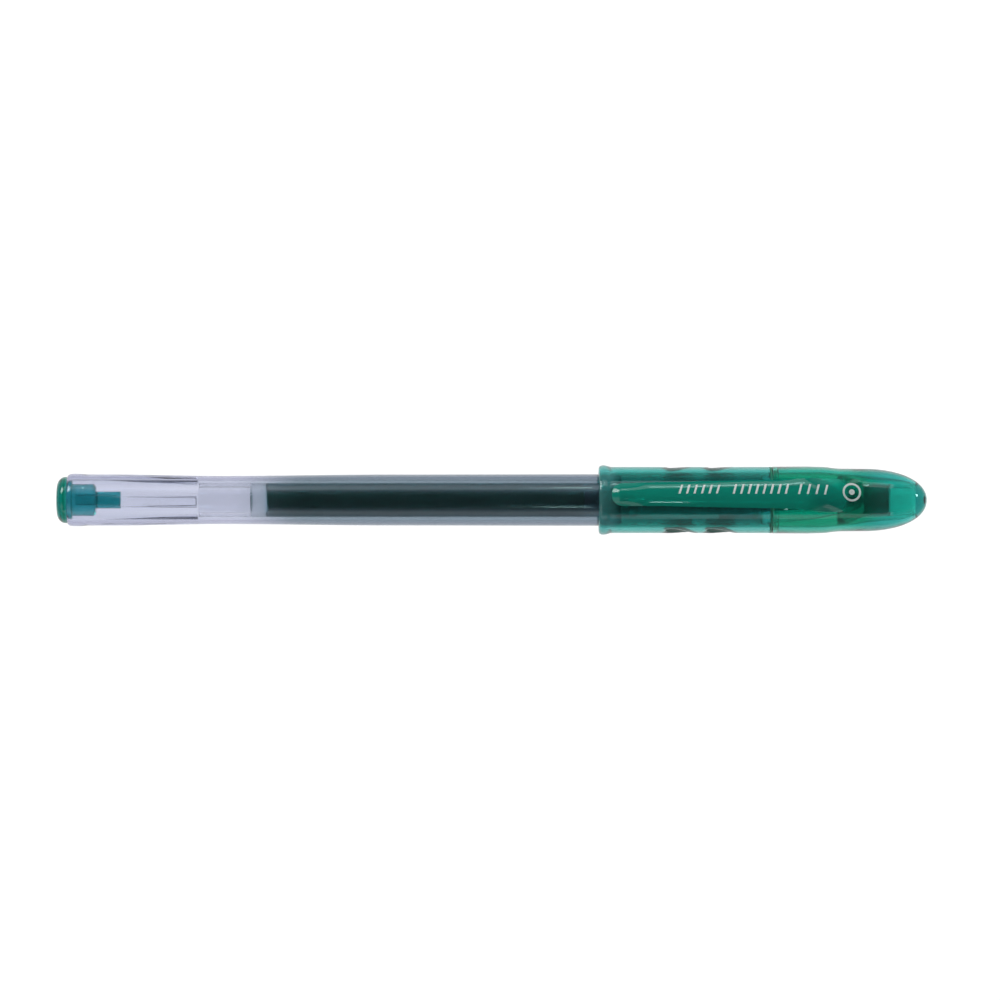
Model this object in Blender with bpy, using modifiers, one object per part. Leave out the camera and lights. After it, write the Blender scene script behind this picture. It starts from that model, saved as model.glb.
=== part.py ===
"""Gel pen with a push-on cap, a refill that draws out of the front, and a springy pocket clip.

The pen lies along +X: the tail plug's flat end is at x = 0 and the cap's dome ends at LENGTH.
The clip points up, +Z. Outlines are in millimetres as (place along the pen, radius) pairs.
"""
import math

import bmesh
import bpy
from mathutils import Matrix, Vector

MM = 0.001

# Driving dimensions, in millimetres from the tail unless a name says otherwise.
LENGTH = 149.0
RUN = 0.05                  # running clearance between neighbouring turned pieces
SEAT = 0.1                  # gap left where one piece seats against another

BARREL_R = 4.41
WAIST_X = 28.0              # where the barrel is slimmest
WAIST_R = 4.16
BARREL_FRONT_R = 4.44
BORE_R = 3.375              # barrel bore
TAIL_LIP_X = 1.85
SNAP_RING_X = (94.4, 94.8, 95.4, 95.8)
SNAP_RING_R = 4.62
BARREL_FRONT_X = 120.4
NECK_R = 3.9                # barrel neck under the grip
GRIP_START_X = 96.6
GRIP_R = 4.45
GROOVE_COUNT = 9
GROOVE_PITCH = 2.4
GROOVE_HALF_WIDTH = 0.35
GROOVE_DEPTH = 0.15

PLUG_FACE_R = 2.4
PLUG_R = 4.0
PLUG_SHOULDER_X = 1.47
PLUG_SEAT_END_X = 2.7
PLUG_WIDE_R = 2.75
PLUG_WIDE_CHAMFER = 0.4
PLUG_WIDE_END_X = 6.7
PLUG_STEM_END_X = 10.9
PLUG_STEM_R = 1.45
PLUG_CORE_R = 0.75

RIB_START_X = 7.4
RIB_END_X = 24.1
RIB_TOP_R = 2.35            # how close the ribs come to the axis where the refill stops on them
RIB_HALF_WIDTH = 0.9
RIB_COUNT = 4
RIB_PHASE = math.radians(-13.0)

REFILL_TAIL_X = 24.35
REFILL_R = 2.925
REFILL_BORE_R = 2.18
REFILL_FRONT_X = 98.0
MENISCUS_X = 33.4
INK_TAIL_X = 36.1
SPIGOT_TAIL_X = 90.3
HOLDER_R = 2.5
HOLDER_BORE_R = 1.25
HOLDER_FRONT_X = 133.0
TIP_TAIL_X = 127.3
TIP_FRONT_X = 139.75
TIP_R = 1.12
BALL_R = 0.35
BALL_X = 139.72

NOSE_TAIL_X = 113.0
NOSE_COLLAR_X = 120.5
NOSE_FRONT_X = 137.0
NOSE_THREAD_BORE_R = 2.72

CAP_RIM_X = 92.8
CAP_R = 5.7
CAP_BEAD_R = 6.0
CAP_BORE_R = 4.75
CAP_JOINT_X = 122.4
CROWN_R = 5.77              # at its fullest, ahead of the joint
CAP_SPIGOT_R = 5.15
CAP_SPIGOT_END_X = 126.2
DENT_MIDDLES_X = (106.6, 113.6)
DENT_SLANT = math.radians(35.0)
DENT_DEPTH = 0.42
DOME_START_X = 138.0
NECK_OF_CROWN_R = 5.38
DOME_POWER = 2.15           # 2 is an ellipse, more is fuller

INNER_CAP_MOUTH_X = 133.5
INNER_CAP_END_X = 146.5
SEAL_X = (138.2, 142.2)
SEAL_R = 2.5

CLIP_FREE_END_X = 94.9
CLIP_PIVOT = (138.6, 0.0, 5.55)

BIG_ROUND = 40              # sides on the barrel and the cap
MID_ROUND = 28
SMALL_ROUND = 20


def clear_scene():
    for obj in list(bpy.data.objects):
        bpy.data.objects.remove(obj, do_unlink=True)


def collection(name):
    made = bpy.data.collections.new(name)
    bpy.context.scene.collection.children.link(made)
    return made


def material(name, colour, roughness, metallic=0.0, alpha=1.0):
    made = bpy.data.materials.new(name)
    made.use_nodes = True
    shader = made.node_tree.nodes["Principled BSDF"]
    shader.inputs["Base Color"].default_value = (*colour, 1.0)
    shader.inputs["Roughness"].default_value = roughness
    shader.inputs["Metallic"].default_value = metallic
    shader.inputs["Alpha"].default_value = alpha
    return made


def smooth(mesh):
    mesh.shade_smooth()
    mesh.set_sharp_from_angle(angle=math.radians(35.0))


def add_object(name, data, where, finish=None):
    obj = bpy.data.objects.new(name, data)
    where.objects.link(obj)
    if finish:
        data.materials.append(finish)
    return obj


def turned(name, outline, sides, where, finish=None):
    """A solid turned about the pen's axis.

    The outline starts at the cap end, runs towards the tail down the outer side and comes back
    along the inner side. It closes on itself unless both of its ends are on the axis.
    """
    mesh = bpy.data.meshes.new(name)
    points = [(radius * MM, 0.0, along * MM) for along, radius in outline]
    edges = [(i, i + 1) for i in range(len(points) - 1)]
    if outline[0][1] > 0.0:
        edges.append((len(points) - 1, 0))
    mesh.from_pydata(points, edges, [])
    obj = add_object(name, mesh, where, finish)
    obj.rotation_euler = (0.0, math.pi / 2, 0.0)
    screw = obj.modifiers.new("Turn", "SCREW")
    screw.axis = "Z"
    screw.steps = sides
    screw.render_steps = sides
    screw.use_merge_vertices = True
    screw.merge_threshold = 1e-6
    screw.use_smooth_shade = True
    return obj


def flat_outline(name, points, half_thickness, where):
    """A filled outline in its own XY plane, given thickness on both sides."""
    curve = bpy.data.curves.new(name, "CURVE")
    curve.dimensions = "2D"
    curve.fill_mode = "BOTH"
    curve.extrude = half_thickness * MM
    spline = curve.splines.new("POLY")
    spline.points.add(len(points) - 1)
    for point, (across, up) in zip(spline.points, points):
        point.co = (across * MM, up * MM, 0.0, 1.0)
    spline.use_cyclic_u = True
    return add_object(name, curve, where)


def as_mesh(obj, where, finish=None):
    """Swap a curve, or an object with modifiers, for the closed mesh that it evaluates to."""
    bpy.context.view_layer.update()
    evaluated = obj.evaluated_get(bpy.context.evaluated_depsgraph_get())
    mesh = bpy.data.meshes.new_from_object(evaluated)
    mesh.transform(obj.matrix_world)
    welded = bmesh.new()
    welded.from_mesh(mesh)
    bmesh.ops.remove_doubles(welded, verts=welded.verts, dist=1e-6)
    bmesh.ops.recalc_face_normals(welded, faces=welded.faces)
    welded.to_mesh(mesh)
    welded.free()
    name = obj.name
    bpy.data.objects.remove(obj, do_unlink=True)
    mesh.name = name
    mesh.materials.clear()
    return add_object(name, mesh, where, finish)


def boolean(obj, tool, operation):
    cut = obj.modifiers.new(tool.name, "BOOLEAN")
    cut.operation = operation
    cut.solver = "EXACT"
    cut.object = tool
    tool.hide_render = True
    tool.display_type = "WIRE"


def eased(stations, steps):
    """Points along a line that passes each station level and swings smoothly between them."""
    points = []
    for (x0, r0), (x1, r1) in zip(stations, stations[1:]):
        for i in range(steps):
            t = i / steps
            points.append((x0 + (x1 - x0) * t, r0 + (r1 - r0) * (1 - math.cos(math.pi * t)) / 2))
    points.append(stations[-1])
    return points


def dome(start_x, end_x, radius, steps):
    """The cap's rounded end, from its full radius to the axis."""
    points = []
    for i in range(steps + 1):
        angle = i / steps * math.pi / 2
        along = start_x + (end_x - start_x) * math.sin(angle) ** (2 / DOME_POWER)
        points.append((along, radius * max(0.0, math.cos(angle)) ** (2 / DOME_POWER)))
    points[-1] = (end_x, 0.0)
    return points


def barrel(where, tools, finish):
    """The clear tube: tail bead, waist, snap ring and neck, with ribs inside that stop the refill."""
    bead = [(TAIL_LIP_X, 4.25), (2.2, 4.4), (2.7, 4.5), (4.3, 4.5), (5.0, BARREL_R)]
    body = eased([(9.0, BARREL_R), (WAIST_X, WAIST_R), (57.0, 4.39), (91.5, BARREL_FRONT_R)], 5)
    ring = list(zip(SNAP_RING_X, (BARREL_FRONT_R, SNAP_RING_R, SNAP_RING_R, BARREL_FRONT_R)))
    step_x = GRIP_START_X - SEAT
    neck = [(step_x, BARREL_FRONT_R), (step_x, NECK_R), (BARREL_FRONT_X, NECK_R)]
    outer = bead + body + ring + neck
    inner = [(TAIL_LIP_X, BORE_R), (BARREL_FRONT_X, BORE_R)]
    tube = turned("barrel", outer[::-1] + inner, BIG_ROUND, where, finish)
    wedge = [(RIB_START_X, BORE_R - 0.05), (RIB_END_X, RIB_TOP_R), (RIB_END_X, BORE_R + 0.3),
             (RIB_START_X, BORE_R + 0.3)]
    for number in range(RIB_COUNT):
        rib = flat_outline(f"rib_{number + 1}", wedge, RIB_HALF_WIDTH, tools)
        rib.rotation_euler = (RIB_PHASE + math.pi / 2 + number * math.tau / RIB_COUNT, 0.0, 0.0)
        boolean(tube, as_mesh(rib, tools), "UNION")
    return tube


def tail_plug(where, finish):
    """Domed plug with a flat end; its stem is moulded hollow and open at its inner end."""
    head = []
    for i in range(7):
        angle = i / 6 * math.pi / 2
        along = PLUG_SHOULDER_X * (1 - math.cos(angle))
        head.append((along, PLUG_FACE_R + (PLUG_R - PLUG_FACE_R) * math.sin(angle)))
    shoulder = [(TAIL_LIP_X - SEAT, PLUG_R), (TAIL_LIP_X - SEAT, BORE_R - RUN)]
    stem = [(PLUG_SEAT_END_X, BORE_R - RUN), (PLUG_SEAT_END_X, PLUG_WIDE_R),
            (PLUG_WIDE_END_X - PLUG_WIDE_CHAMFER, PLUG_WIDE_R),
            (PLUG_WIDE_END_X, PLUG_WIDE_R - PLUG_WIDE_CHAMFER), (PLUG_WIDE_END_X, PLUG_STEM_R),
            (PLUG_STEM_END_X, PLUG_STEM_R)]
    core = [(3.2, 0.0), (3.2, PLUG_CORE_R), (PLUG_STEM_END_X, PLUG_CORE_R)]
    outline = core + (([(0.0, 0.0)] + head + shoulder + stem)[::-1])
    return turned("tail_plug", outline, MID_ROUND, where, finish)


def rubber_grip(where, finish):
    """Soft sleeve over the barrel's neck, ringed with shallow grooves."""
    outer = [(GRIP_START_X, GRIP_R)]
    for number in range(GROOVE_COUNT):
        middle = GRIP_START_X + (number + 1) * GROOVE_PITCH
        outer.append((middle - GROOVE_HALF_WIDTH, GRIP_R))
        outer.append((middle, GRIP_R - GROOVE_DEPTH))
        outer.append((middle + GROOVE_HALF_WIDTH, GRIP_R))
    outer.append((BARREL_FRONT_X - SEAT, GRIP_R))
    inner = [(GRIP_START_X, NECK_R + RUN), (BARREL_FRONT_X - SEAT, NECK_R + RUN)]
    return turned("rubber_grip", outer[::-1] + inner, MID_ROUND, where, finish)


def refill_tube(where, finish):
    outline = [(REFILL_FRONT_X, REFILL_R), (REFILL_TAIL_X, REFILL_R),
               (REFILL_TAIL_X, REFILL_BORE_R), (REFILL_FRONT_X, REFILL_BORE_R)]
    return turned("refill_tube", outline, MID_ROUND, where, finish)


def ink(where, finish):
    """Gel ink in the tube, and in the tip holder's bore ahead of it."""
    wide = REFILL_BORE_R - RUN
    narrow = HOLDER_BORE_R - RUN
    outline = [(TIP_TAIL_X - SEAT, 0.0), (TIP_TAIL_X - SEAT, narrow), (SPIGOT_TAIL_X - SEAT, narrow),
               (SPIGOT_TAIL_X - SEAT, wide), (INK_TAIL_X, wide), (INK_TAIL_X, 0.0)]
    return turned("ink", outline, MID_ROUND, where, finish)


def ink_follower(where, finish):
    """Grease plug that follows the ink, dished at its free end where it meets the air."""
    wide = REFILL_BORE_R - RUN
    front = INK_TAIL_X - SEAT
    outline = [(front, 0.0), (front, wide), (MENISCUS_X - 0.6, wide), (MENISCUS_X, wide * 0.7),
               (MENISCUS_X + 0.4, 0.0)]
    return turned("ink_follower", outline, MID_ROUND, where, finish)


def tip_holder(where, finish):
    """Moulded holder: a spigot in the refill tube, a flange, and a taper that holds the tip."""
    spigot_r = REFILL_BORE_R - RUN
    flange_x = REFILL_FRONT_X + SEAT
    outer = [(SPIGOT_TAIL_X, 1.95), (90.9, spigot_r), (flange_x, spigot_r), (flange_x, REFILL_R),
             (99.4, REFILL_R), (99.9, HOLDER_R), (117.0, HOLDER_R), (118.6, 2.2), (126.0, 1.75),
             (HOLDER_FRONT_X, 1.5)]
    inner = [(SPIGOT_TAIL_X, HOLDER_BORE_R), (TIP_TAIL_X, HOLDER_BORE_R),
             (TIP_TAIL_X, TIP_R + RUN), (HOLDER_FRONT_X, TIP_R + RUN)]
    return turned("tip_holder", outer[::-1] + inner, MID_ROUND, where, finish)


def writing_tip(where, finish):
    """Metal tip with its ink channel and the socket that the ball turns in."""
    socket_r = BALL_R + RUN
    outer = [(TIP_TAIL_X + SEAT, TIP_R), (136.0, TIP_R), (136.3, 0.95), (139.2, 0.52),
             (TIP_FRONT_X, 0.46)]
    inner = [(TIP_TAIL_X + SEAT, 0.5), (136.0, 0.5), (136.6, 0.2), (139.15, 0.2), (139.3, socket_r),
             (TIP_FRONT_X, socket_r)]
    return turned("writing_tip", outer[::-1] + inner, SMALL_ROUND, where, finish)


def ball(where, finish):
    mesh = bpy.data.meshes.new("ball")
    shape = bmesh.new()
    bmesh.ops.create_uvsphere(shape, u_segments=16, v_segments=8, radius=BALL_R * MM)
    shape.to_mesh(mesh)
    shape.free()
    smooth(mesh)
    obj = add_object("ball", mesh, where, finish)
    obj.location = (BALL_X * MM, 0.0, 0.0)
    return obj


def nose_cone(where, finish):
    """Front section: a threaded spigot in the barrel, a collar, and the cone round the tip."""
    spigot_r = BORE_R - RUN
    outer = [(NOSE_TAIL_X, spigot_r - 0.25), (113.4, spigot_r), (NOSE_COLLAR_X, spigot_r),
             (NOSE_COLLAR_X, 4.2), (120.9, 4.35), (121.6, 4.2), (123.0, 4.0), (129.8, 3.3),
             (134.2, 2.35), (136.6, 1.75), (NOSE_FRONT_X, 1.55)]
    mouth_r = TIP_R + 0.1
    inner = [(NOSE_TAIL_X, NOSE_THREAD_BORE_R), (119.0, NOSE_THREAD_BORE_R), (119.8, 2.35),
             (126.4, 1.95), (133.3, 1.62), (133.8, mouth_r), (NOSE_FRONT_X, mouth_r)]
    return turned("nose_cone", outer[::-1] + inner, MID_ROUND, where, finish)


def thumb_dent(name, along, side, tools):
    """Slanting oval cutter that leaves a shallow dent in one flank of the cap."""
    half_length, half_width, half_depth = 4.0, 2.2, 1.4
    mesh = bpy.data.meshes.new(name)
    shape = bmesh.new()
    bmesh.ops.create_uvsphere(shape, u_segments=20, v_segments=10, radius=MM)
    bmesh.ops.scale(shape, vec=(half_length, half_depth, half_width), verts=shape.verts)
    slant = Matrix.Rotation(DENT_SLANT, 3, "Y")
    bmesh.ops.rotate(shape, matrix=slant, verts=shape.verts)
    shape.to_mesh(mesh)
    shape.free()
    obj = add_object(name, mesh, tools)
    obj.location = (along * MM, side * (CAP_R + half_depth - DENT_DEPTH) * MM, 0.0)
    return obj


def cap_tube(where, tools, finish):
    """Cap body: beaded open end, a flank of dents on each side, and a spigot for the crown."""
    bead = [(CAP_RIM_X, 5.7), (93.15, 5.93), (93.5, CAP_BEAD_R), (94.0, 5.93), (94.8, CAP_R)]
    front = [(CAP_JOINT_X, CAP_R), (CAP_JOINT_X, CAP_SPIGOT_R), (CAP_SPIGOT_END_X, CAP_SPIGOT_R)]
    inner = [(CAP_RIM_X, CAP_BORE_R + 0.25), (93.2, CAP_BORE_R), (CAP_SPIGOT_END_X, CAP_BORE_R)]
    tube = turned("cap_tube", (bead + front)[::-1] + inner, BIG_ROUND, where, finish)
    for number, along in enumerate(DENT_MIDDLES_X):
        for side in (-1, 1):
            hand = "left" if side > 0 else "right"
            boolean(tube, thumb_dent(f"dent_{hand}_{number + 1}", along, side, tools), "DIFFERENCE")
    return tube


def crown_side(extra=0.0):
    """The crown's outer line from its open end to the start of the dome."""
    body = [(CAP_JOINT_X + RUN, 5.74), (128.5, CROWN_R), (130.6, 5.72)]
    neck = eased([(130.6, 5.72), (134.6, 5.4), (DOME_START_X, NECK_OF_CROWN_R)], 4)[1:]
    return [(along, radius + extra) for along, radius in body + neck]


def cap_crown(where, finish):
    """Closed end of the cap: socket for the tube, waist, and fuller dome."""
    end = dome(DOME_START_X, LENGTH, NECK_OF_CROWN_R, 9)[1:]
    inner = [(CAP_JOINT_X + RUN, CAP_SPIGOT_R + RUN), (126.3, CAP_SPIGOT_R + RUN), (126.3, CAP_BORE_R),
             (132.6, CAP_BORE_R), (133.2, 4.3), (136.6, 4.3), (140.0, 3.7), (145.0, 3.25), (146.7, 2.6),
             (146.7, 0.0)]
    outline = (crown_side() + end)[::-1] + inner
    return turned("cap_crown", outline, BIG_ROUND, where, finish)


def inner_cap(where, finish):
    """Liner that closes round the nose cone and holds the seal."""
    outer = [(INNER_CAP_MOUTH_X, 4.25), (135.4, 4.25), (138.0, 3.05), (INNER_CAP_END_X, 2.5),
             (INNER_CAP_END_X, 0.0)]
    inner = [(145.9, 0.0), (145.9, 2.1), (SEAL_X[1] + 0.2, 2.1), (SEAL_X[1] + SEAT, SEAL_R + RUN),
             (137.9, SEAL_R + RUN), (INNER_CAP_MOUTH_X, 3.75)]
    outline = inner + outer
    return turned("inner_cap", outline[::-1], MID_ROUND, where, finish)


def tip_seal(where, finish):
    """Soft stopper that the tip pushes into when the cap is on."""
    outline = [(SEAL_X[1], 0.0), (SEAL_X[1], SEAL_R), (SEAL_X[0], SEAL_R), (SEAL_X[0], 1.0),
               (139.9, 0.62), (140.4, 0.0)]
    return turned("tip_seal", outline, MID_ROUND, where, finish)


def clip(where, tools, finish):
    """Tongue that springs from the crown and runs back over the cap to a rounded free end."""
    side_view = [(CLIP_FREE_END_X, 7.1), (95.5, 6.6), (96.6, 6.0), (97.8, 5.95), (99.6, 6.55),
                 (102.0, 6.75), (128.0, 6.95), (130.2, 6.6), (131.0, 4.8), (138.6, 4.4), (138.6, 5.7),
                 (135.8, 6.9), (132.4, 7.85), (128.0, 8.1), (112.0, 7.95), (97.6, 7.75), (95.6, 7.5)]
    half_plan = [(CLIP_FREE_END_X, 0.45), (95.4, 1.2), (96.1, 1.72), (96.9, 1.97), (122.0, 2.4),
                 (131.0, 2.9), (138.7, 2.9)]
    plan_view = half_plan + [(along, -half) for along, half in half_plan[::-1]]
    tongue = flat_outline("clip", side_view, 3.2, where)
    tongue.rotation_euler = (math.pi / 2, 0.0, 0.0)
    outline = flat_outline("clip_plan", plan_view, 3.5, tools)
    outline.location = (0.0, 0.0, 6.5 * MM)
    past_root = 139.4
    saddle_side = [(past_root, 0.0), (past_root, NECK_OF_CROWN_R + SEAT)] + crown_side(SEAT)[::-1]
    saddle = turned("clip_saddle", saddle_side + [(CAP_JOINT_X, 0.0)], BIG_ROUND, tools)
    tongue = as_mesh(tongue, where, finish)
    boolean(tongue, as_mesh(outline, tools), "INTERSECT")
    boolean(tongue, as_mesh(saddle, tools), "DIFFERENCE")
    tongue.data.transform(Matrix.Translation(-Vector(CLIP_PIVOT) * MM))
    return tongue


def carrier(name, where, parent=None, at=(0.0, 0.0, 0.0)):
    """Empty on a moving group's joint axis."""
    empty = add_object(name, None, where)
    empty.empty_display_size = 0.005
    empty.location = Vector(at) * MM
    empty.parent = parent
    return empty


def hang(carrier_empty, *pieces):
    for piece in pieces:
        piece.parent = carrier_empty


def main():
    clear_scene()
    parts = collection("gel_pen")
    tools = collection("gel_pen_cutters")

    clear = material("clear_plastic", (0.60, 0.63, 0.75), 0.08, alpha=0.35)
    green = material("green_clear_plastic", (0.0, 0.24, 0.16), 0.07, alpha=0.7)
    grip_rubber = material("grip_rubber", (0.30, 0.38, 0.40), 0.55)
    milky = material("milky_plastic", (0.55, 0.60, 0.68), 0.35, alpha=0.5)
    ink_gel = material("green_ink", (0.008, 0.03, 0.028), 0.25)
    grease = material("follower_grease", (0.45, 0.52, 0.60), 0.3, alpha=0.6)
    holder_plastic = material("holder_plastic", (0.50, 0.56, 0.58), 0.3)
    tip_metal = material("tip_metal", (0.62, 0.60, 0.57), 0.2, metallic=1.0)
    ball_metal = material("ball_metal", (0.75, 0.75, 0.77), 0.08, metallic=1.0)
    liner_plastic = material("liner_plastic", (0.35, 0.62, 0.55), 0.3, alpha=0.6)
    seal_rubber = material("seal_rubber", (0.01, 0.12, 0.08), 0.6)

    barrel(parts, tools, clear)
    tail_plug(parts, green)
    rubber_grip(parts, grip_rubber)

    refill_slide = carrier("refill_slide", parts)
    hang(refill_slide, refill_tube(parts, milky), ink(parts, ink_gel), ink_follower(parts, grease),
         tip_holder(parts, holder_plastic), writing_tip(parts, tip_metal), ball(parts, ball_metal))

    nose_slide = carrier("nose_slide", parts, refill_slide)
    hang(nose_slide, nose_cone(parts, clear))

    cap_slide = carrier("cap_slide", parts, nose_slide)
    hang(cap_slide, cap_tube(parts, tools, green), cap_crown(parts, green),
         inner_cap(parts, liner_plastic), tip_seal(parts, seal_rubber))

    clip_hinge = carrier("clip_hinge", parts, cap_slide, CLIP_PIVOT)
    hang(clip_hinge, clip(parts, tools, green))


main()
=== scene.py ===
"""Looks of a capped gel pen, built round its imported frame.

The pen lies along +X with its tail at x = 0 and its pocket clip up. Outlines are in millimetres, as
(place along the pen, radius) pairs, and start from the frame's own boxes.
"""
import math

import bmesh
import bpy
from mathutils import Matrix, Vector


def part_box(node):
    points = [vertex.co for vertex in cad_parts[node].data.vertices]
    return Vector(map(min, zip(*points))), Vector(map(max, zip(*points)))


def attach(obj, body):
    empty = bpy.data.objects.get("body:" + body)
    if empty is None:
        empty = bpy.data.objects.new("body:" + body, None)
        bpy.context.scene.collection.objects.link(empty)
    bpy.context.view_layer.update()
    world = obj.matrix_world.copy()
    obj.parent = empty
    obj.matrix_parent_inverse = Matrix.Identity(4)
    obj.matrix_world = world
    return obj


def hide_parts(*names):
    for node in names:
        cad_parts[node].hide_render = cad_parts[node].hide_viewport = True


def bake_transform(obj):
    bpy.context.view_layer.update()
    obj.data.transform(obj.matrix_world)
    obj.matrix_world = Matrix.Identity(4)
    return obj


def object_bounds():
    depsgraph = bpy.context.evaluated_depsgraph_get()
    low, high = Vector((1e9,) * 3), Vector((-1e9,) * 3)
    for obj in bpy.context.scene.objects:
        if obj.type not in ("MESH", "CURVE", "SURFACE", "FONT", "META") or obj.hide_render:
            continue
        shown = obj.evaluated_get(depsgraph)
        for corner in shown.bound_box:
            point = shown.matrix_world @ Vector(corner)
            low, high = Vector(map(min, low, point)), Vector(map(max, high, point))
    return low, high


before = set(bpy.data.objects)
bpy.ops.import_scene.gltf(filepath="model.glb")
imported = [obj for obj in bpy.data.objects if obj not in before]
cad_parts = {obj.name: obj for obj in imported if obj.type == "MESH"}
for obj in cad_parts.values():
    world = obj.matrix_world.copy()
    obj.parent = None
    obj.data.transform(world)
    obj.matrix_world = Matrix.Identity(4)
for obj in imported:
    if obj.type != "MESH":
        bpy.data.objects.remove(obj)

MM = 0.001
ROUND = 144                 # sides on the outer turned pieces
ROUND_INSIDE = 96           # sides on pieces seen through another
ROUND_DENTED = 220          # sides on the cap's tube, whose dents need a fine mesh
CAP_R = 5.7                 # radius of the cap's tube behind its rim, in millimetres
DENTS_X = (106.6, 113.6)    # middles of the two dents in each flank
PEN_MIDDLE = Vector((0.075, 0.0, 0.0))
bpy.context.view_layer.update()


# Shape helpers

def reach(node):
    """A turned node's start and end along the pen and its largest radius, in millimetres."""
    low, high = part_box(node)
    return low.x / MM, high.x / MM, max(high.z, -low.z) / MM


def softened(outline, radius, steps=4, closed=True):
    """Round every corner of an outline, leaving points on the pen's axis where they are."""
    count = len(outline)
    points = []
    for i, here in enumerate(outline):
        ends = not closed and i in (0, count - 1)
        if ends or here[1] == 0.0:
            points.append(here)
            continue
        corner = Vector(here)
        before = Vector(outline[i - 1]) - corner
        after = Vector(outline[(i + 1) % count]) - corner
        cut = min(radius, 0.45 * before.length, 0.45 * after.length)
        turn = before.normalized().dot(after.normalized())
        if turn < -0.995 or cut < 1e-4:
            points.append(here)
            continue
        start = corner + before.normalized() * cut
        end = corner + after.normalized() * cut
        for step in range(steps + 1):
            t = step / steps
            bend = start * (1 - t) ** 2 + corner * 2 * t * (1 - t) + end * t ** 2
            points.append((bend.x, bend.y))
    return points


def finer(outline, step, closed=True):
    """Split the long stretches of an outline so that no piece of it is longer than step."""
    points = []
    ends = outline[1:] + outline[:1] if closed else outline[1:]
    for (x0, r0), (x1, r1) in zip(outline, ends):
        parts = max(1, math.ceil(math.hypot(x1 - x0, r1 - r0) / step))
        for i in range(parts):
            points.append((x0 + (x1 - x0) * i / parts, r0 + (r1 - r0) * i / parts))
    return points if closed else points + [outline[-1]]


def eased(stations, steps):
    """Points along a line that passes each station level and swings smoothly between them."""
    points = []
    for (x0, r0), (x1, r1) in zip(stations, stations[1:]):
        for i in range(steps):
            t = i / steps
            points.append((x0 + (x1 - x0) * t, r0 + (r1 - r0) * (1 - math.cos(math.pi * t)) / 2))
    points.append(stations[-1])
    return points


def dome(start_x, end_x, radius, power, steps):
    """A rounded end from its full radius to the axis; power 2 is an ellipse, more is fuller."""
    points = []
    for i in range(steps):
        angle = i / steps * math.pi / 2
        along = start_x + (end_x - start_x) * math.sin(angle) ** (2 / power)
        points.append((along, radius * math.cos(angle) ** (2 / power)))
    points.append((end_x, 0.0))
    return points


def piece_from(shape, name, sharp_degrees=40.0):
    """A mesh object from a bmesh, facing out and shaded smooth except at sharp edges."""
    bmesh.ops.recalc_face_normals(shape, faces=shape.faces)
    mesh = bpy.data.meshes.new(name)
    shape.to_mesh(mesh)
    shape.free()
    mesh.shade_smooth()
    mesh.set_sharp_from_angle(angle=math.radians(sharp_degrees))
    obj = bpy.data.objects.new(name, mesh)
    bpy.context.scene.collection.objects.link(obj)
    return obj


def add_turned(shape, outline, sides):
    """Add a body turned about the pen's axis to a bmesh; points at radius 0 become poles."""
    rings = []
    for along, radius in outline:
        if radius == 0.0:
            rings.append([shape.verts.new((along * MM, 0.0, 0.0))])
            continue
        ring = []
        for i in range(sides):
            angle = math.tau * i / sides
            place = (along * MM, math.sin(angle) * radius * MM, math.cos(angle) * radius * MM)
            ring.append(shape.verts.new(place))
        rings.append(ring)
    pairs = list(zip(rings, rings[1:]))
    if outline[0][1] > 0.0:
        pairs.append((rings[-1], rings[0]))
    for first, second in pairs:
        if len(first) == len(second) == 1:
            continue
        for i in range(sides):
            j = (i + 1) % sides
            corners = [first[i % len(first)], first[j % len(first)],
                       second[j % len(second)], second[i % len(second)]]
            shape.faces.new(list(dict.fromkeys(corners)))


def turned(name, outline, sides=ROUND, sharp_degrees=40.0):
    """A mesh object turned from an outline about the pen's axis."""
    shape = bmesh.new()
    add_turned(shape, outline, sides)
    return piece_from(shape, name, sharp_degrees)


def boolean(obj, tool, operation, solver="EXACT"):
    """Join or cut with another mesh and keep the result as the object's own mesh."""
    cut = obj.modifiers.new("Cut", "BOOLEAN")
    cut.operation = operation
    cut.solver = solver
    cut.object = tool
    bpy.context.view_layer.update()
    graph = bpy.context.evaluated_depsgraph_get()
    result = bpy.data.meshes.new_from_object(obj.evaluated_get(graph))
    obj.modifiers.clear()
    obj.data = result
    bpy.data.objects.remove(tool, do_unlink=True)
    result.shade_smooth()
    result.set_sharp_from_angle(angle=math.radians(40.0))


def finish_piece(obj, material, slot, body, *nodes):
    """Give a piece its material, say which CAD nodes it stands for, and what it rides; slot is not used."""
    obj.data.materials.clear()
    obj.data.materials.append(material)
    if nodes:
        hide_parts(*nodes)
    if body:
        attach(obj, body)
    return obj


# Materials

def new_material(name):
    material = bpy.data.materials.new(name)
    material.use_nodes = True
    return material, material.node_tree.nodes, material.node_tree.links


def noise(nodes, links, scale, detail=3.0, stretch=(1.0, 1.0, 1.0)):
    """Noise in the object's own space; stretch below 1 draws it out along that axis."""
    place = nodes.new("ShaderNodeTexCoord")
    mapping = nodes.new("ShaderNodeMapping")
    mapping.inputs["Scale"].default_value = stretch
    texture = nodes.new("ShaderNodeTexNoise")
    texture.inputs["Scale"].default_value = scale
    texture.inputs["Detail"].default_value = detail
    links.new(place.outputs["Object"], mapping.inputs["Vector"])
    links.new(mapping.outputs["Vector"], texture.inputs["Vector"])
    return texture.outputs["Fac"]


def ranged(nodes, links, value, low, high):
    """Spread the middle of a noise value over a range."""
    spread = nodes.new("ShaderNodeMapRange")
    spread.inputs["From Min"].default_value = 0.3
    spread.inputs["From Max"].default_value = 0.7
    spread.inputs["To Min"].default_value = low
    spread.inputs["To Max"].default_value = high
    links.new(value, spread.inputs["Value"])
    return spread.outputs["Result"]


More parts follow.
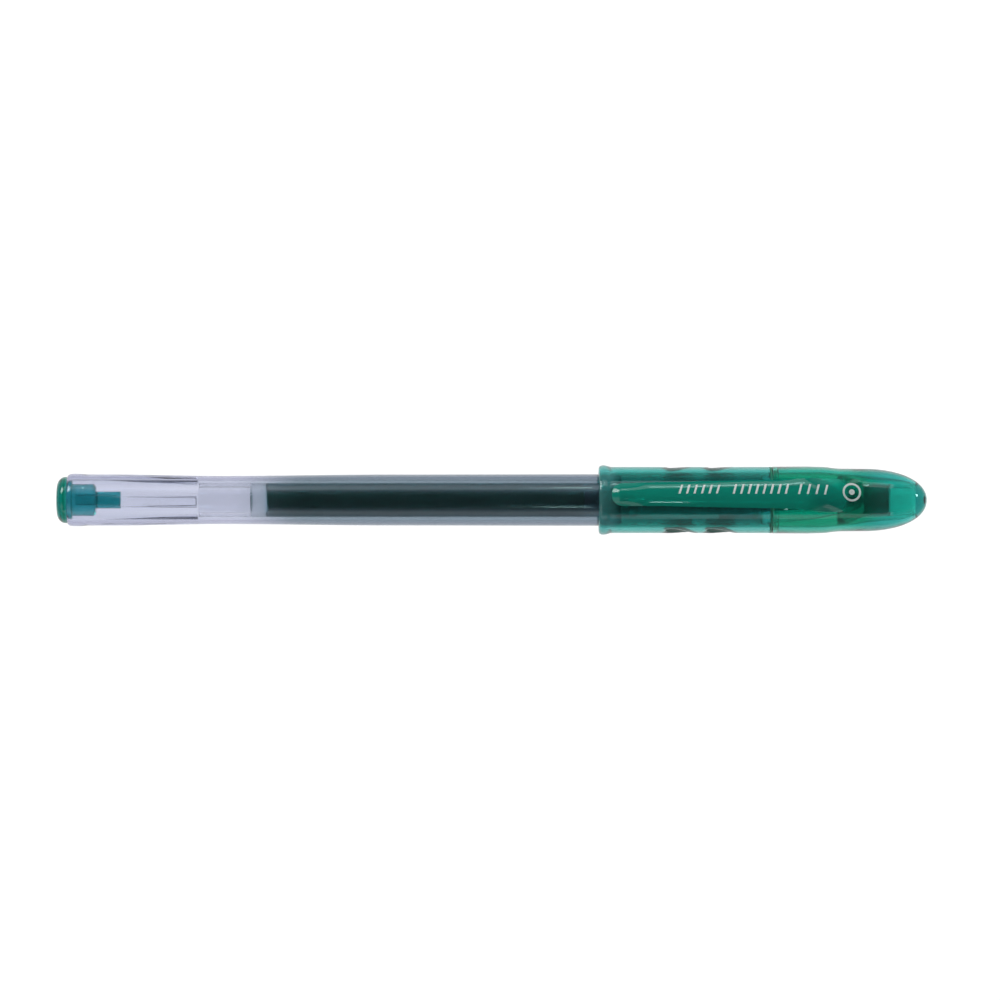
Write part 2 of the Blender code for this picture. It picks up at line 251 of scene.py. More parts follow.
def moulded(name, first, second, clearness, rough, ior=1.49, ripple=0.02, metallic=0.0, absorbed=None):
    """Moulded plastic, gel or metal: two close colours, a roughness range and a faint ripple.

    absorbed is how strongly red, green and blue fade inside the piece, per millimetre.
    """
    material, nodes, links = new_material(name)
    shader = nodes["Principled BSDF"]
    flow = noise(nodes, links, 60.0, stretch=(0.35, 1.0, 1.0))
    fine = noise(nodes, links, 900.0, detail=4.0)
    links.new(mixed(nodes, links, flow, first, second), shader.inputs["Base Color"])
    links.new(ranged(nodes, links, fine, *rough), shader.inputs["Roughness"])
    shader.inputs["Transmission Weight"].default_value = clearness
    shader.inputs["IOR"].default_value = ior
    shader.inputs["Metallic"].default_value = metallic
    bump = nodes.new("ShaderNodeBump")
    bump.inputs["Strength"].default_value = ripple
    bump.inputs["Distance"].default_value = 0.0002
    links.new(flow, bump.inputs["Height"])
    links.new(bump.outputs["Normal"], shader.inputs["Normal"])
    if absorbed:
        strongest = max(absorbed)
        inside = nodes.new("ShaderNodeVolumeAbsorption")
        inside.inputs["Color"].default_value = (*(1.0 - part / strongest for part in absorbed), 1.0)
        inside.inputs["Density"].default_value = strongest / MM
        links.new(inside.outputs["Volume"], nodes["Material Output"].inputs["Volume"])
    return material


def smoothed(nodes, links, value, low, high, at_low=0.0, at_high=1.0):
    """A value that eases from at_low to at_high as another goes from low to high."""
    ramp = nodes.new("ShaderNodeMapRange")
    ramp.interpolation_type = "SMOOTHSTEP"
    ramp.inputs["From Min"].default_value = low
    ramp.inputs["From Max"].default_value = high
    ramp.inputs["To Min"].default_value = at_low
    ramp.inputs["To Max"].default_value = at_high
    links.new(value, ramp.inputs["Value"])
    return ramp.outputs["Result"]


def place_on_pen(nodes, links):
    """Distance from the tail and distance from the axis, in metres."""
    place = nodes.new("ShaderNodeTexCoord")
    split = nodes.new("ShaderNodeSeparateXYZ")
    links.new(place.outputs["Object"], split.inputs["Vector"])
    flat = nodes.new("ShaderNodeVectorMath")
    flat.operation = "MULTIPLY"
    flat.inputs[1].default_value = (0.0, 1.0, 1.0)
    links.new(place.outputs["Object"], flat.inputs[0])
    length = nodes.new("ShaderNodeVectorMath")
    length.operation = "LENGTH"
    links.new(flat.outputs["Vector"], length.inputs[0])
    return split.outputs["X"], length.outputs["Value"]


def mixed(nodes, links, value, first, second):
    """Mix two colours, each a socket or three numbers."""
    mix = nodes.new("ShaderNodeMix")
    mix.data_type = "RGBA"
    for colour, socket in ((first, mix.inputs["A"]), (second, mix.inputs["B"])):
        if isinstance(colour, tuple):
            socket.default_value = (*colour, 1.0)
        else:
            links.new(colour, socket)
    links.new(value, mix.inputs["Factor"])
    return mix.outputs["Result"]


def product(nodes, links, first, second):
    """One value times another."""
    times = nodes.new("ShaderNodeMath")
    times.operation = "MULTIPLY"
    links.new(first, times.inputs[0])
    links.new(second, times.inputs[1])
    return times.outputs["Value"]


def edge_on(nodes, links, low, high, least=0.0):
    """The least value where a surface faces the eye, easing to 1 where it turns away."""
    facing = nodes.new("ShaderNodeLayerWeight")
    facing.inputs["Blend"].default_value = 0.5
    return smoothed(nodes, links, facing.outputs["Facing"], low, high, least)


def painted_edge_shade(nodes, links, body, shade, low, high):
    """A colour, multiplied by a painted shade where the surface turns away from the eye, standing in for the
    dark rim that light gives a clear piece.
    """
    rim = nodes.new("ShaderNodeMix")
    rim.data_type = "RGBA"
    rim.blend_type = "MULTIPLY"
    rim.inputs["B"].default_value = (*shade, 1.0)
    links.new(edge_on(nodes, links, low, high), rim.inputs["Factor"])
    links.new(body, rim.inputs["A"])
    return rim.outputs["Result"]


def barrel_plastic():
    """Clear barrel: its outside is faintly smoky, with painted shadow along the ink and painted shade
    towards its edges.
    """
    material = moulded("clear_barrel_plastic", (0.66, 0.675, 0.79), (0.70, 0.715, 0.83), 1.0, (0.05, 0.10),
                       absorbed=(0.09, 0.08, 0.05))
    nodes, links = material.node_tree.nodes, material.node_tree.links
    shader = nodes["Principled BSDF"]
    clear = shader.inputs["Base Color"].links[0].from_socket
    along, out = place_on_pen(nodes, links)
    # painted shadow: the outside turns grey teal along the ink, standing in for the ink's shadow seen
    # through the clear wall
    along_ink = smoothed(nodes, links, along, 0.029, 0.043)
    outside = smoothed(nodes, links, out, 0.00395, 0.0041)
    body = mixed(nodes, links, along_ink, clear, (0.27, 0.345, 0.385))
    # painted shade: the barrel's outside darkens towards its edges
    shaded = painted_edge_shade(nodes, links, body, (0.50, 0.48, 0.56), 0.30, 0.50)
    links.new(mixed(nodes, links, outside, (0.97, 0.97, 0.98), shaded), shader.inputs["Base Color"])
    return material


def refill_plastic():
    """Refill tube: clear seen straight on, milky towards its edges wherever ink lies behind it."""
    material = moulded("milky_plastic", (0.95, 0.96, 0.98), (0.98, 0.98, 0.99), 1.0, (0.10, 0.16))
    nodes, links = material.node_tree.nodes, material.node_tree.links
    shader = nodes["Principled BSDF"]
    clear = shader.inputs["Base Color"].links[0].from_socket
    along, _ = place_on_pen(nodes, links)
    along_ink = smoothed(nodes, links, along, 0.0352, 0.0366)
    links.new(mixed(nodes, links, along_ink, clear, (0.66, 0.92, 0.98)), shader.inputs["Base Color"])
    milk = product(nodes, links, along_ink, edge_on(nodes, links, 0.0, 0.36, 0.24))
    clearness = smoothed(nodes, links, milk, 0.0, 1.0, 1.0, 0.42)
    links.new(clearness, shader.inputs["Transmission Weight"])
    return material


def cap_plastic():
    """Green of the cap's tube: cloudy at its rim, with painted dark shade in the dents, colourless on the
    spigot.
    """
    material = moulded("green_clear_plastic", (0.11, 0.62, 0.56), (0.13, 0.66, 0.60), 0.95, (0.02, 0.05),
                       absorbed=(0.45, 0.17, 0.17))
    nodes, links = material.node_tree.nodes, material.node_tree.links
    shader = nodes["Principled BSDF"]
    green = shader.inputs["Base Color"].links[0].from_socket
    along, out = place_on_pen(nodes, links)
    below_face = smoothed(nodes, links, out, 0.00545, 0.00564, 1.0, 0.0)
    above_bore = smoothed(nodes, links, out, 0.00490, 0.00500)
    before_groove = smoothed(nodes, links, along, 0.1185, 0.1190, 1.0, 0.0)
    # painted shade: the dents get a dark green, less clearness and a dull face, standing in for the shade
    # that light leaves in them
    dent_shade = product(nodes, links, product(nodes, links, below_face, above_bore), before_groove)
    past_rim = smoothed(nodes, links, along, 0.0945, 0.0965)
    on_spigot = smoothed(nodes, links, along, 0.1222, 0.1225)
    dented = mixed(nodes, links, dent_shade, green, (0.006, 0.14, 0.10))
    rimmed = mixed(nodes, links, past_rim, (0.24, 0.82, 0.78), dented)
    tube = mixed(nodes, links, on_spigot, rimmed, (0.97, 0.98, 0.98))
    # painted shade: the tube's colour darkens towards its edges
    links.new(painted_edge_shade(nodes, links, tube, (0.5, 0.6, 0.6), 0.5, 0.8), shader.inputs["Base Color"])
    past_rim_clear = smoothed(nodes, links, along, 0.0945, 0.0965, 0.8, 0.95)
    dent_clear = smoothed(nodes, links, dent_shade, 0.0, 1.0, 1.0, 0.3)
    links.new(product(nodes, links, past_rim_clear, dent_clear), shader.inputs["Transmission Weight"])
    links.new(smoothed(nodes, links, dent_shade, 0.0, 1.0, 0.5, 0.05), shader.inputs["Specular IOR Level"])
    links.new(smoothed(nodes, links, dent_shade, 0.0, 1.0, 0.035, 0.5), shader.inputs["Roughness"])
    return material


def liner_plastic():
    """Inner cap: faintly cloudy, and clear past the stopper."""
    material = moulded("liner_plastic", (0.72, 0.95, 0.92), (0.78, 0.98, 0.95), 0.8, (0.05, 0.12))
    nodes, links = material.node_tree.nodes, material.node_tree.links
    along, _ = place_on_pen(nodes, links)
    clearness = smoothed(nodes, links, along, 0.1415, 0.1425, 0.8, 1.0)
    links.new(clearness, nodes["Principled BSDF"].inputs["Transmission Weight"])
    return material


def crown_plastic():
    """Deep green of the clip and crown; the clip is a little cloudy, the dome a lighter teal."""
    material = moulded("deep_green_clear_plastic", (0.010, 0.67, 0.49), (0.014, 0.72, 0.54), 0.9,
                       (0.02, 0.05), absorbed=(0.75, 0.20, 0.20))
    nodes, links = material.node_tree.nodes, material.node_tree.links
    shader = nodes["Principled BSDF"]
    deep = shader.inputs["Base Color"].links[0].from_socket
    along, out = place_on_pen(nodes, links)
    ahead = smoothed(nodes, links, along, 0.137, 0.142)
    body = mixed(nodes, links, ahead, deep, (0.27, 0.84, 0.76))
    # painted shade: the crown's colour darkens towards its edges
    links.new(painted_edge_shade(nodes, links, body, (0.2, 0.35, 0.33), 0.5, 0.8), shader.inputs["Base Color"])
    clip = smoothed(nodes, links, out, 0.0059, 0.0063, 0.94, 0.62)
    links.new(clip, shader.inputs["Transmission Weight"])
    return material


def plug_plastic():
    """Plug: the head is a deep green, the stem inside the barrel a lighter teal."""
    material = moulded("plug_green_clear_plastic", (0.14, 0.75, 0.76), (0.16, 0.79, 0.80), 0.8, (0.03, 0.06),
                       absorbed=(0.26, 0.08, 0.07))
    nodes, links = material.node_tree.nodes, material.node_tree.links
    shader = nodes["Principled BSDF"]
    stem = shader.inputs["Base Color"].links[0].from_socket
    along, _ = place_on_pen(nodes, links)
    inside = smoothed(nodes, links, along, 0.0013, 0.0019)
    links.new(mixed(nodes, links, inside, (0.004, 0.30, 0.19), stem), shader.inputs["Base Color"])
    return material


CLEAR = moulded("clear_plastic", (0.86, 0.88, 0.95), (0.89, 0.90, 0.97), 1.0, (0.05, 0.10))
BARREL = barrel_plastic()
MILKY = refill_plastic()
GREEN = cap_plastic()
DEEP_GREEN = crown_plastic()
PLUG = plug_plastic()
GRIP = moulded("grip_rubber", (0.84, 0.93, 0.95), (0.90, 0.96, 0.97), 0.9, (0.10, 0.16), 1.43)
INK = moulded("green_ink", (0.12, 0.40, 0.30), (0.14, 0.44, 0.33), 0.0, (0.2, 0.3), 1.4)
GREASE = moulded("follower_grease", (0.90, 0.96, 0.98), (0.97, 1.0, 1.0), 0.94, (0.25, 0.45), 1.12)
HOLDER = moulded("holder_plastic", (0.74, 0.82, 0.84), (0.80, 0.87, 0.89), 0.6, (0.2, 0.28))
TIP = moulded("tip_metal", (0.55, 0.53, 0.50), (0.63, 0.61, 0.58), 0.0, (0.15, 0.3), metallic=1.0)
BALL = moulded("ball_metal", (0.7, 0.7, 0.72), (0.78, 0.78, 0.8), 0.0, (0.05, 0.1), metallic=1.0)
LINER = liner_plastic()
SEAL = moulded("seal_rubber", (0.004, 0.32, 0.18), (0.008, 0.36, 0.21), 0.35, (0.4, 0.55))
PRINT = moulded("print_ink", (0.93, 0.96, 0.93), (0.98, 1.0, 0.98), 0.0, (0.35, 0.5))


# Barrel

def make_barrel():
    """Clear tube with a tail bead, a waist, a snap ring, a neck and four ribs inside."""
    tail, front, top = reach("barrel")
    grip_x, _, grip_r = reach("rubber_grip")
    neck_r = 3.9
    bore = 3.375
    bead = softened([(tail, bore), (tail, 4.22), (tail + 0.25, 4.4), (tail + 0.7, 4.52),
                     (tail + 2.5, 4.52), (tail + 3.1, 4.41), (tail + 5.0, 4.41)], 0.3, closed=False)
    body = eased([(9.0, 4.41), (28.0, 4.16), (57.0, 4.39), (91.5, 4.44)], 14)
    ring = softened([(94.3, 4.44), (94.8, top), (95.4, top), (95.9, 4.44), (grip_x - 0.1, 4.44),
                     (grip_x - 0.1, neck_r), (front, neck_r), (front, bore)], 0.12, closed=False)
    tube = turned("barrel_shell", finer(bead + body + ring, 3.0))
    rib_start, rib_end = 7.4, 24.1
    rib_top = 2.55
    for number in range(4):
        rib = bmesh.new()
        bmesh.ops.create_cube(rib, size=1.0)
        for vert in rib.verts:
            ahead = vert.co.x > 0
            inward = vert.co.z < 0
            low = (rib_top if ahead else bore - 0.05) if inward else bore + 0.3
            half_width = (0.72 if ahead else 1.0) if inward else 1.05
            place = rib_end if ahead else rib_start
            vert.co = (place * MM, math.copysign(half_width, vert.co.y) * MM, low * MM)
        rib_edges = [e for e in rib.edges if all(v.co.z < bore * MM for v in e.verts)]
        bmesh.ops.bevel(rib, geom=rib_edges, offset=0.22 * MM, segments=3, affect="EDGES")
        turn = Matrix.Rotation(math.radians(13.0) + number * math.tau / 4, 3, "X")
        bmesh.ops.rotate(rib, matrix=turn, verts=rib.verts)
        boolean(tube, piece_from(rib, "rib"), "UNION")
    return finish_piece(tube, BARREL, "clear_plastic", "barrel", "barrel")


def make_tail_plug():
    """Domed plug, flat at its end, with a stepped hollow stem."""
    _, stem_end, head_r = reach("tail_plug")
    face_r = 2.4
    shoulder = 1.47
    seat, grip_r, wide_r, stem_r, core_r = 1.75, 3.325, 2.75, 1.45, 0.75
    head = []
    for i in range(15):
        angle = i / 14 * math.pi / 2
        head.append((shoulder * (1 - math.cos(angle)), face_r + (head_r - face_r) * math.sin(angle)))
    rest = softened([(seat, head_r), (seat, grip_r), (2.7, grip_r), (2.7, wide_r), (6.3, wide_r),
                     (6.7, wide_r - 0.4), (6.7, stem_r), (stem_end, stem_r), (stem_end, core_r),
                     (3.2, core_r)], 0.12, closed=False)
    outline = [(0.0, 0.0)] + head + rest + [(3.2, 0.0)]
    plug = turned("tail_plug_moulding", outline, ROUND_INSIDE)
    return finish_piece(plug, PLUG, "green_clear_plastic", "barrel", "tail_plug")


def make_grip():
    """Soft sleeve with shallow rings, over the barrel's neck."""
    start, end, top = reach("rubber_grip")
    inner = 3.95
    outer = [(start, inner), (start, top)]
    for number in range(9):
        middle = start + 2.4 + number * 2.4
        outer += [(middle - 0.35, top), (middle, top - 0.15), (middle + 0.35, top)]
    outer += [(end, top), (end, inner)]
    grip = turned("grip_sleeve", finer(softened(outer, 0.15), 2.0), ROUND_INSIDE)
    return finish_piece(grip, GRIP, "grip_rubber", "barrel", "rubber_grip")


# Refill

def make_refill_tube():
    """Plain extruded tube."""
    start, end, top = reach("refill_tube")
    bore = 2.18
    outline = softened([(start, bore), (start, top), (end, top), (end, bore)], 0.12)
    tube = turned("refill_tube_milky", finer(outline, 4.0), ROUND_INSIDE)
    return finish_piece(tube, MILKY, "milky_plastic", "refill", "refill_tube")


def make_ink():
    """Gel column that wets the tube, with a slightly tilted tail, stepping down into the holder."""
    start, end, _ = reach("ink")
    wide, narrow = 2.2, 0.7
    step_x = reach("tip_holder")[0] - 0.1
    tail = [(start, 0.0), (start, wide * 0.3), (start, wide * 0.6), (start + 0.05, wide * 0.85),
            (start + 0.2, wide)]
    column = [(start + 0.8, wide), (step_x, wide), (step_x, narrow), (end, narrow), (end, 0.0)]
    body = turned("ink_column", tail + finer(column, 4.0, closed=False), ROUND_INSIDE)
    tilt = 0.08
    for vert in body.data.vertices:
        if vert.co.x < (start + 0.3) * MM:
            vert.co.x -= 0.15 * MM + vert.co.y * tilt
    return finish_piece(body, INK, "green_ink", "refill", "ink")


def make_follower():
    """Grease plug with a dished, slightly tilted free end."""
    start, end, _ = reach("ink_follower")
    top = 2.2
    edge = start + 0.4
    dish = [(edge + 0.45, 0.0), (edge + 0.4, top * 0.35), (edge + 0.3, top * 0.6),
            (edge + 0.15, top * 0.82), (edge, top)]
    body = turned("follower_grease_plug", dish + [(edge + 0.8, top), (end, top), (end, 0.0)], ROUND_INSIDE)
    return finish_piece(body, GREASE, "follower_grease", "refill", "ink_follower")


def make_tip_holder():
    """Moulded holder: a spigot in the refill tube, a collar, and a long taper to the tip."""
    start, end, top = reach("tip_holder")
    tube_end = reach("refill_tube")[1] + 0.1
    spigot, bore, tip_bore = 2.13, 1.25, 1.17
    outer = [(start, bore), (start, 1.95), (start + 0.6, spigot), (tube_end, spigot), (tube_end, top),
             (99.4, top), (99.9, 2.5), (117.0, 2.5), (118.6, 2.2), (126.0, 1.75), (end, 1.5),
             (end, tip_bore), (127.3, tip_bore), (127.3, bore)]
    holder = turned("tip_holder_moulding", finer(softened(outer, 0.15), 3.0), ROUND_INSIDE)
    return finish_piece(holder, HOLDER, "holder_plastic", "refill", "tip_holder")


def make_writing_tip():
    """Turned metal tip with a socket for the ball."""
    start, end, top = reach("writing_tip")
    socket = 0.4
    outer = [(start, 0.5), (start, top), (136.0, top), (136.3, 0.95), (139.2, 0.52), (end, 0.46),
             (end, socket), (139.3, socket), (139.15, 0.2), (136.6, 0.2), (136.0, 0.5)]
    tip = turned("writing_tip_metal", softened(outer, 0.05), ROUND_INSIDE)
    return finish_piece(tip, TIP, "tip_metal", "refill", "writing_tip")


def make_ball():
    low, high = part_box("ball")
    centre = (low + high) / 2
    shape = bmesh.new()
    bmesh.ops.create_icosphere(shape, subdivisions=4, radius=(high.x - low.x) / 2)
    bmesh.ops.translate(shape, vec=centre, verts=shape.verts)
    ball = piece_from(shape, "ball_polished")
    return finish_piece(ball, BALL, "ball_metal", "refill", "ball")


# Nose and cap

def make_nose():
    """Front section: spigot, collar, and a cone with a slightly hollow side."""
    start, end, top = reach("nose_cone")
    spigot, tip_bore = 3.325, 1.22
    outer = [(start, 2.72), (start, spigot - 0.25), (start + 0.4, spigot), (120.4, spigot),
             (120.5, spigot), (120.5, 3.45), (120.5, 4.2), (120.9, top), (121.6, 4.2), (123.0, 4.0),
             (129.8, 3.3), (134.2, 2.35), (136.6, 1.75), (end, 1.55), (end, tip_bore),
             (133.8, tip_bore), (133.3, 1.62), (126.4, 1.95), (119.8, 2.35), (119.0, 2.72)]
    nose = turned("nose_section", finer(softened(outer, 0.3), 2.0), ROUND_INSIDE)
    return finish_piece(nose, CLEAR, "clear_plastic", "nose", "nose_cone")


def press_dents(mesh):
    """Sink slanting oval dents into both flanks of the cap's outer face."""
    half_length, half_width, depth, fullness = 3.1, 1.5, 0.5, 0.6
    slant = math.radians(35.0)
    for vert in mesh.vertices:
        radius = math.hypot(vert.co.y, vert.co.z) / MM
        if radius < CAP_R - 0.3:
            continue
        side = 1 if vert.co.y > 0 else -1
        down = math.atan2(-vert.co.z, abs(vert.co.y)) * radius
        for middle in DENTS_X:
            ahead = vert.co.x / MM - middle
            along = ahead * math.cos(slant) + down * math.sin(slant)
            across = down * math.cos(slant) - ahead * math.sin(slant)
            reached = (along / half_length) ** 2 + (across / half_width) ** 2
            if reached < 1.0:
                sunk = depth * (1.0 - reached) ** fullness
                vert.co.y -= side * sunk * MM * abs(vert.co.y) / (radius * MM)
                vert.co.z -= sunk * MM * vert.co.z / (radius * MM)


def make_cap_tube():
    """Cap body: rolled rim, dented flanks, and the spigot that the crown sits on."""
    start, _, top = reach("cap_tube")
    bore, spigot = 4.75, 5.15
    joint = reach("cap_crown")[0] - 0.05
    rim = softened([(start + 0.35, bore), (start, bore + 0.3), (start, 5.75), (start + 0.35, 5.94),
                    (start + 0.75, top), (start + 1.3, 5.94), (start + 2.0, CAP_R)], 0.3, closed=False)
    body = [(96.5, CAP_R), (joint - 0.40, CAP_R), (joint - 0.38, spigot + 0.02), (joint, spigot),
            (joint + 0.6, spigot), (joint + 0.7, spigot - 0.15), (joint + 0.7, bore)]
    tube = turned("cap_body", finer(rim + body, 0.35), ROUND_DENTED)
    press_dents(tube.data)
    finish_piece(tube, GREEN, "green_clear_plastic", "cap", "cap_tube")
    # painted shade: a dark ring sunk in the joint between the tube and the crown, standing in for the dark
    # line that light shows at the joint
    joint_shade_ring = turned("cap_joint_shade_ring", [(joint - 0.35, spigot + 0.04), (joint - 0.35, CAP_R - 0.03),
                               (joint, CAP_R - 0.03), (joint, spigot + 0.04)], ROUND_DENTED)
    finish_piece(joint_shade_ring, SEAL, "seal_rubber", "cap")


def clip_section(along, half_width, low, high):
    """Points round the clip at one place: a crowned top, rounded edges and a flat underside."""
    drop = 0.62 * (high - low)
    edge = min(0.16, 0.15 * (high - low), 0.5 * half_width)
    top = []
    for step in range(17):
        across = half_width * (1 - step / 8)
        top.append((across, high - drop * (across / half_width) ** 2))
    right = [(half_width - edge, low), (half_width - 0.3 * edge, low + 0.3 * edge), (half_width, low + edge)]
    left = [(-across, z) for across, z in right[::-1]]
    return [Vector((along, across, z)) * MM for across, z in right + top + left]


def along_line(stations, place):
    """Value at a place on a line of (place, value) stations, eased between them."""
    if place <= stations[0][0]:
        return stations[0][1]
    for (x0, v0), (x1, v1) in zip(stations, stations[1:]):
        if place <= x1:
            t = (place - x0) / (x1 - x0)
            return v0 + (v1 - v0) * t * t * (3 - 2 * t)
    return stations[-1][1]


CLIP_TOP = [(94.9, 7.15), (96.4, 7.72), (112.0, 7.95), (128.0, 8.1), (139.6, 5.1)]
CLIP_UNDER = [(94.9, 6.8), (96.2, 6.1), (97.4, 5.98), (98.4, 6.2), (101.0, 6.75), (127.5, 6.95),
              (131.5, 4.9), (139.6, 4.4)]
CLIP_HALF = [(96.9, 1.97), (122.0, 2.4), (131.0, 2.85), (136.5, 2.9), (139.6, 2.2)]


def clip_half_width(place):
    """Half width of the clip, with its free end drawn in to a rounded point."""
    start = CLIP_TOP[0][0]
    if place < 96.9:
        t = (place - start) / (96.9 - start)
        return 0.25 + 1.72 * math.sqrt(max(0.0, 1.0 - (1.0 - t) ** 2.0))
    return along_line(CLIP_HALF, place)


def make_clip_tongue():
    """The clip on its own, lofted through sections from its free end to its root."""
    start, end = CLIP_TOP[0][0], CLIP_TOP[-1][0]
    places = [start + 2.0 * (i / 12) ** 1.6 for i in range(12)]
    places += [start + 2.0 + (end - start - 2.0) * i / 110 for i in range(111)]
    shape = bmesh.new()
    rings = []
    for place in places:
        section = clip_section(place, clip_half_width(place), along_line(CLIP_UNDER, place),
                               along_line(CLIP_TOP, place))
        rings.append([shape.verts.new(point) for point in section])
    for first, second in zip(rings, rings[1:]):
        for i in range(len(first)):
            j = (i + 1) % len(first)
            shape.faces.new((first[i], first[j], second[j], second[i]))
    shape.faces.new(rings[0])
    shape.faces.new(rings[-1][::-1])
    return piece_from(shape, "clip_tongue")


def make_crown_and_clip():
    """Closed end of the cap with the clip that is moulded on it; the clip bends at its root."""
    start, end, top = reach("cap_crown")
    neck_r, dome_x = 5.38, 138.0
    socket, bore = 5.2, 4.75
    skirt = softened([(start, socket), (start, 5.74), (128.5, top), (130.6, 5.72)], 0.22, closed=False)
    waist = eased([(130.6, 5.72), (134.4, 5.4), (dome_x, neck_r)], 10)[1:-1]
    outside = skirt + waist + dome(dome_x, end, neck_r, 2.15, 30)
    inside = softened([(146.7, 2.6), (145.0, 3.25), (140.0, 3.7), (136.6, 4.3), (130.5, bore),
                       (start + 0.9, bore), (start + 0.9, socket)], 0.8, closed=False)
    crown = turned("cap_crown_and_clip", outside + [(146.7, 0.0)] + inside)
    boolean(crown, make_clip_tongue(), "UNION", "MANIFOLD")
    finish_piece(crown, DEEP_GREEN, "green_clear_plastic", None, "cap_crown", "clip")
    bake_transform(crown)
    return crown


def slanted_bars(start, end, count, foot, height):
    """A row of slanting bars, each cut into short lengths that can follow the clip's crowned top."""
    bars = []
    stroke, lean, lengths = 0.36, 0.45, 8
    for number in range(count):
        along = start + (end - start - stroke) * number / (count - 1)
        for step in range(lengths):
            near, far = step / lengths, (step + 1) / lengths
            bars.append([(along + lean * near, foot + height * near),
                         (along + stroke + lean * near, foot + height * near),
                         (along + stroke + lean * far, foot + height * far),
                         (along + lean * far, foot + height * far)])
    return bars


def ring_strips(centre, inner, outer, count):
    """A flat ring as a run of small four-cornered pieces."""
    corners = []
    for number in range(count + 1):
        angle = math.tau * number / count
        corners.append([(centre[0] + radius * math.cos(angle), centre[1] + radius * math.sin(angle))
                        for radius in (inner, outer)])
    return [[first[0], first[1], second[1], second[0]] for first, second in zip(corners, corners[1:])]


def make_print(crown):
    """Plain pale marks on the clip: three rows of slanting bars, and a ring with a dot in it."""
    pieces = slanted_bars(106.2, 112.9, 6, 0.0, 1.55) + slanted_bars(115.4, 124.6, 8, -0.05, 1.7)
    pieces += slanted_bars(126.5, 131.3, 4, -0.1, 1.75)
    middle = (135.8, 0.55)
    pieces += ring_strips(middle, 1.25, 1.6, 40) + ring_strips(middle, 0.05, 0.5, 16)
    raised, sunk, above = 0.02, -0.05, 20.0
    shape = bmesh.new()
    for corners in pieces:
        layers = []
        for lift in (raised, sunk):
            layer = []
            for along, across in corners:
                eye = Vector((along * MM, across * MM, above * MM))
                _, place, _, _ = crown.ray_cast(eye, Vector((0.0, 0.0, -1.0)))
                layer.append(shape.verts.new(place + Vector((0.0, 0.0, lift * MM))))
            layers.append(layer)
        top, base = layers
        shape.faces.new(top)
        shape.faces.new(base[::-1])
        for i in range(4):
            shape.faces.new((top[i], top[i - 1], base[i - 1], base[i]))
    marks = piece_from(shape, "clip_marks")
    finish_piece(marks, PRINT, "green_clear_plastic", None)
    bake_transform(marks)


def make_inner_cap():
    """Liner that closes over the tip, tapering inside the crown's dome."""
    start, end, top = reach("inner_cap")
    seal_end = reach("tip_seal")[1]
    bore = 2.55
    outer = softened([(start, 3.75), (start, top), (135.4, top), (138.0, 3.05), (end, 2.5)], 0.2,
                     closed=False)
    inner = softened([(145.9, 2.1), (seal_end + 0.2, 2.1), (seal_end + 0.1, bore), (137.9, bore)], 0.1,
                     closed=False)
    liner = turned("inner_cap_liner", outer + [(end, 0.0), (145.9, 0.0)] + inner, ROUND_INSIDE)
    return finish_piece(liner, LINER, "liner_plastic", "cap", "inner_cap")


def make_tip_seal():
    """Dark stopper at the liner's end, dished to take the tip."""
    start, end, top = reach("tip_seal")
    outline = softened([(140.4, 0.0), (139.9, 0.62), (start, 1.0), (start, top), (end, top), (end, 0.0)],
                       0.15)
    seal = turned("tip_seal_stopper", outline, ROUND_INSIDE)
    return finish_piece(seal, SEAL, "seal_rubber", "cap", "tip_seal")


# Floor, light and camera

def make_stage():
    """A pale floor well below the pen, glowing softly where the pen stands over it."""
    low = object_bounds()[0]
    drop, radius = 0.10, 1.6
    shape = bmesh.new()
    bmesh.ops.create_circle(shape, cap_ends=True, segments=96, radius=radius)
    floor = piece_from(shape, "floor")
    floor.location = (PEN_MIDDLE.x, PEN_MIDDLE.y, low.z - drop)
    material, nodes, links = new_material("pale_floor")
    shader = nodes["Principled BSDF"]
    shader.inputs["Base Color"].default_value = (0.45, 0.45, 0.45, 1.0)
    shader.inputs["Roughness"].default_value = 0.9
    shader.inputs["Emission Color"].default_value = (1.0, 1.0, 1.0, 1.0)
    place = nodes.new("ShaderNodeTexCoord")
    length = nodes.new("ShaderNodeVectorMath")
    length.operation = "LENGTH"
    links.new(place.outputs["Object"], length.inputs[0])
    glow = smoothed(nodes, links, length.outputs["Value"], 0.15, 0.28, 0.86, 0.20)
    links.new(glow, shader.inputs["Emission Strength"])
    floor.data.materials.append(material)


def make_world():
    """A room that is dark overhead and paler towards its walls."""
    world = bpy.data.worlds.new("studio")
    world.use_nodes = True
    bpy.context.scene.world = world
    nodes, links = world.node_tree.nodes, world.node_tree.links
    place = nodes.new("ShaderNodeTexCoord")
    split = nodes.new("ShaderNodeSeparateXYZ")
    links.new(place.outputs["Generated"], split.inputs["Vector"])
    nodes["Background"].inputs["Color"].default_value = (0.94, 0.97, 1.0, 1.0)
    links.new(smoothed(nodes, links, split.outputs["Z"], 0.08, 0.40, 0.34, 0.06),
              nodes["Background"].inputs["Strength"])


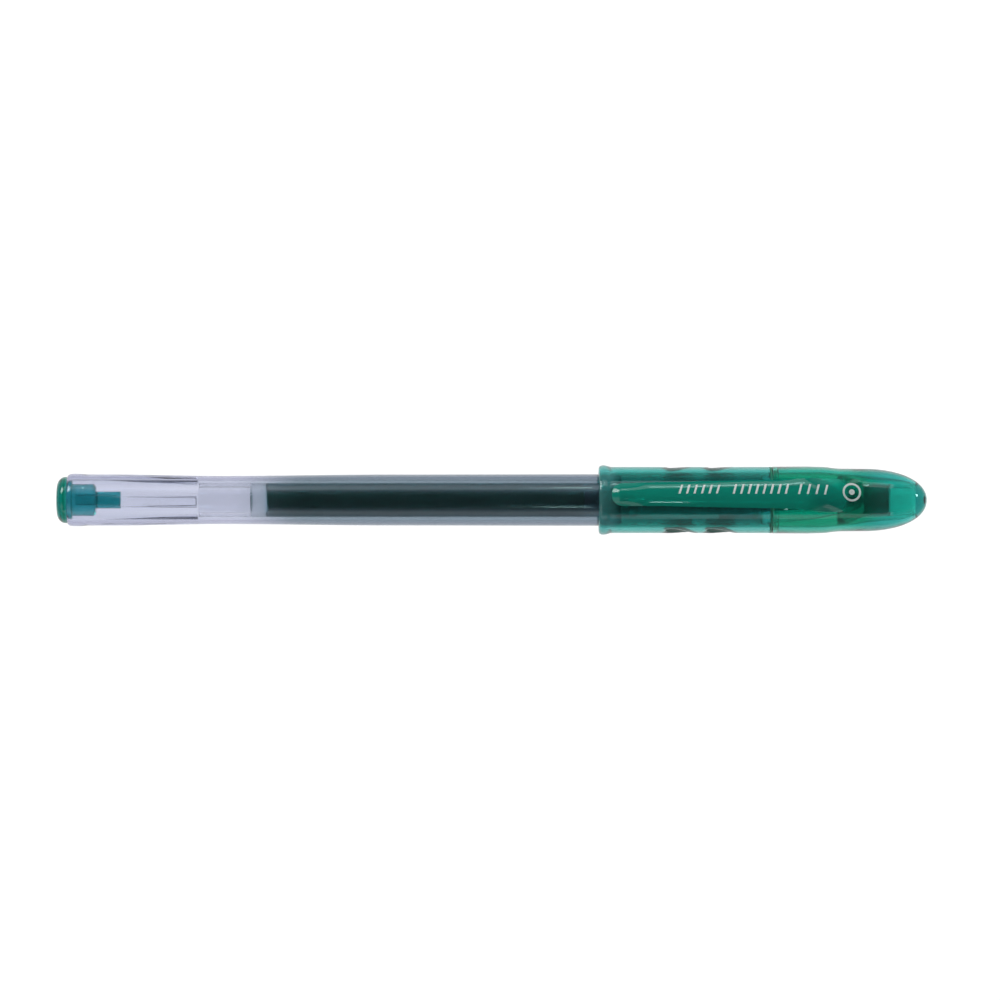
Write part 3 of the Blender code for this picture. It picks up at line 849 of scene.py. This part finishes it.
def make_lights():
    """Soft panels at the tail's corners and the sides, and slim strips beside the cap."""
    white, aqua = (1.0, 1.0, 1.0), (0.62, 1.0, 0.98)
    panels = [("tail_far", (-0.67, 0.68, 0.6), (0.5, 0.5), 8.0, white),
              ("tail_near", (-0.67, -0.68, 0.6), (0.7, 0.7), 0.8, white),
              ("dome_glint", (0.75, 0.18, 0.16), (0.10, 0.10), 20.0, aqua),
              ("far_side", (0.075, 0.62, 0.50), (0.9, 0.30), 1.3, white),
              ("near_side", (0.075, -0.75, 0.30), (0.9, 0.24), 0.9, white),
              ("clip_streak", (0.095, -0.48, 0.575), (0.014, 0.05), 10.0, aqua),
              ("cap_strip", (0.155, 0.56, 0.50), (0.13, 0.07), 6.5, aqua)]
    for name, place, size, radiance, colour in panels:
        light = bpy.data.lights.new(name, "AREA")
        light.shape = "RECTANGLE"
        light.size, light.size_y = size
        light.energy = radiance * math.pi * size[0] * size[1]
        light.color = colour
        obj = bpy.data.objects.new(name, light)
        obj.location = place
        obj.rotation_euler = (PEN_MIDDLE - Vector(place)).to_track_quat("-Z", "Y").to_euler()
        bpy.context.scene.collection.objects.link(obj)


def make_camera():
    """Long lens, nearly overhead, so that the clip shows a little above the pen's axis."""
    elevation = math.radians(82.0)
    frame_width = 0.17136
    data = bpy.data.cameras.new("camera")
    data.lens = 200.0
    distance = frame_width * data.lens / data.sensor_width
    camera = bpy.data.objects.new("camera", data)
    target = Vector((0.07587, 0.0, 0.0))
    back = Vector((0.0, -math.cos(elevation), math.sin(elevation)))
    camera.location = target + back * distance
    camera.rotation_euler = (-back).to_track_quat("-Z", "Y").to_euler()
    bpy.context.scene.collection.objects.link(camera)
    bpy.context.scene.camera = camera


make_barrel()
make_tail_plug()
make_grip()
make_refill_tube()
make_ink()
make_follower()
make_tip_holder()
make_writing_tip()
make_ball()
make_nose()
make_cap_tube()
make_print(make_crown_and_clip())
make_inner_cap()
make_tip_seal()
make_stage()
make_world()
make_lights()
make_camera()

scene = bpy.context.scene
scene.view_settings.view_transform = "Standard"
scene.cycles.use_denoising = True
scene.cycles.max_bounces = 24
scene.cycles.transmission_bounces = 24
scene.cycles.glossy_bounces = 8
scene.cycles.transparent_max_bounces = 16
